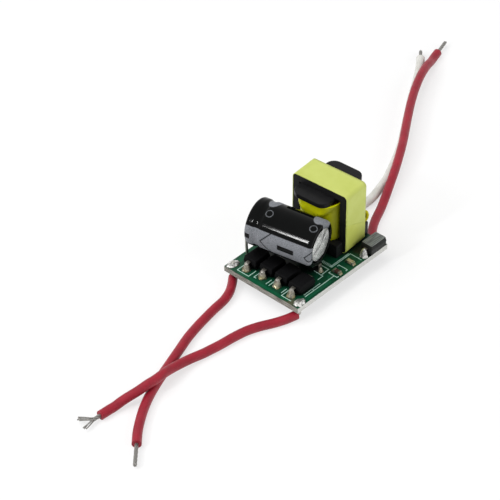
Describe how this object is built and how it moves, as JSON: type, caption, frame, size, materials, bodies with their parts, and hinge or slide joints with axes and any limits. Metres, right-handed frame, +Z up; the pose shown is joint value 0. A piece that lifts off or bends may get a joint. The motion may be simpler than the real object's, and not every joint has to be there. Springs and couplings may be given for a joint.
{
  "type": "led driver",
  "caption": "Open-frame LED driver: green circuit board with a taped transformer, a lying electrolytic capacitor, moulded diodes and flexible mains and output leads.",
  "frame": {"origin": "under the middle of the circuit board, on the surface that the pin tails stand on", "axes": "+X from the mains input end to the LED output end, +Y to the capacitor's lead end, +Z up"},
  "size_m": [0.1444, 0.0463, 0.018],
  "materials": {
    "board_green": "green solder resist on glass laminate",
    "diode_black": "matte moulded epoxy",
    "sleeve_black": "glossy shrink sleeve",
    "can_aluminium": "bare aluminium",
    "bung_rubber": "matte rubber",
    "ferrite": "ground ferrite",
    "bobbin_black": "moulded phenolic",
    "copper_wire": "enamelled copper",
    "tape_amber": "polyester tape, amber",
    "tape_lime": "polyester tape, pale lime yellow",
    "chip_ceramic": "fired ceramic",
    "chip_black": "overglazed ceramic",
    "tinned_metal": "tinned, bright",
    "solder": "solder with a trace of flux",
    "wire_red": "soft insulation, crimson",
    "wire_white": "soft insulation, off-white"
  },
  "bodies": {
    "root": {"circuit_board": "board_green", "bridge_diode_1": "diode_black", "bridge_diode_1_leads": "tinned_metal", "chip_resistor_1": "chip_black", "bridge_diode_2": "diode_black", "bridge_diode_2_leads": "tinned_metal", "chip_resistor_2": "chip_black", "bridge_diode_3": "diode_black", "bridge_diode_3_leads": "tinned_metal", "chip_resistor_3": "chip_black", "bridge_diode_4": "diode_black", "bridge_diode_4_leads": "tinned_metal", "chip_resistor_4": "chip_black", "chip_capacitor_1": "chip_ceramic", "chip_capacitor_2": "chip_ceramic", "chip_capacitor_3": "chip_ceramic", "output_diode": "diode_black", "output_diode_leads": "tinned_metal", "snubber_diode": "diode_black", "snubber_diode_leads": "tinned_metal", "capacitor_can": "can_aluminium", "capacitor_sleeve": "sleeve_black", "capacitor_bung": "bung_rubber", "capacitor_leads": "tinned_metal", "core_upper": "ferrite", "core_lower": "ferrite", "bobbin": "bobbin_black", "transformer_pins": "tinned_metal", "copper_winding": "copper_wire", "winding_tape": "tape_amber", "core_tape": "tape_lime", "chip_ends": "tinned_metal", "controller_ic": "diode_black", "controller_leads": "tinned_metal", "diode_solder": "solder", "chip_solder": "solder", "pin_solder": "solder", "wire_solder": "solder", "wire_tails": "tinned_metal", "input_wire_1": "wire_red", "input_wire_1_tip": "tinned_metal", "input_wire_2": "wire_red", "input_wire_2_tip": "tinned_metal", "output_wire_positive": "wire_red", "output_wire_positive_tip": "tinned_metal", "output_wire_negative": "wire_white", "output_wire_negative_tip": "tinned_metal"}
  },
  "joints": []
}
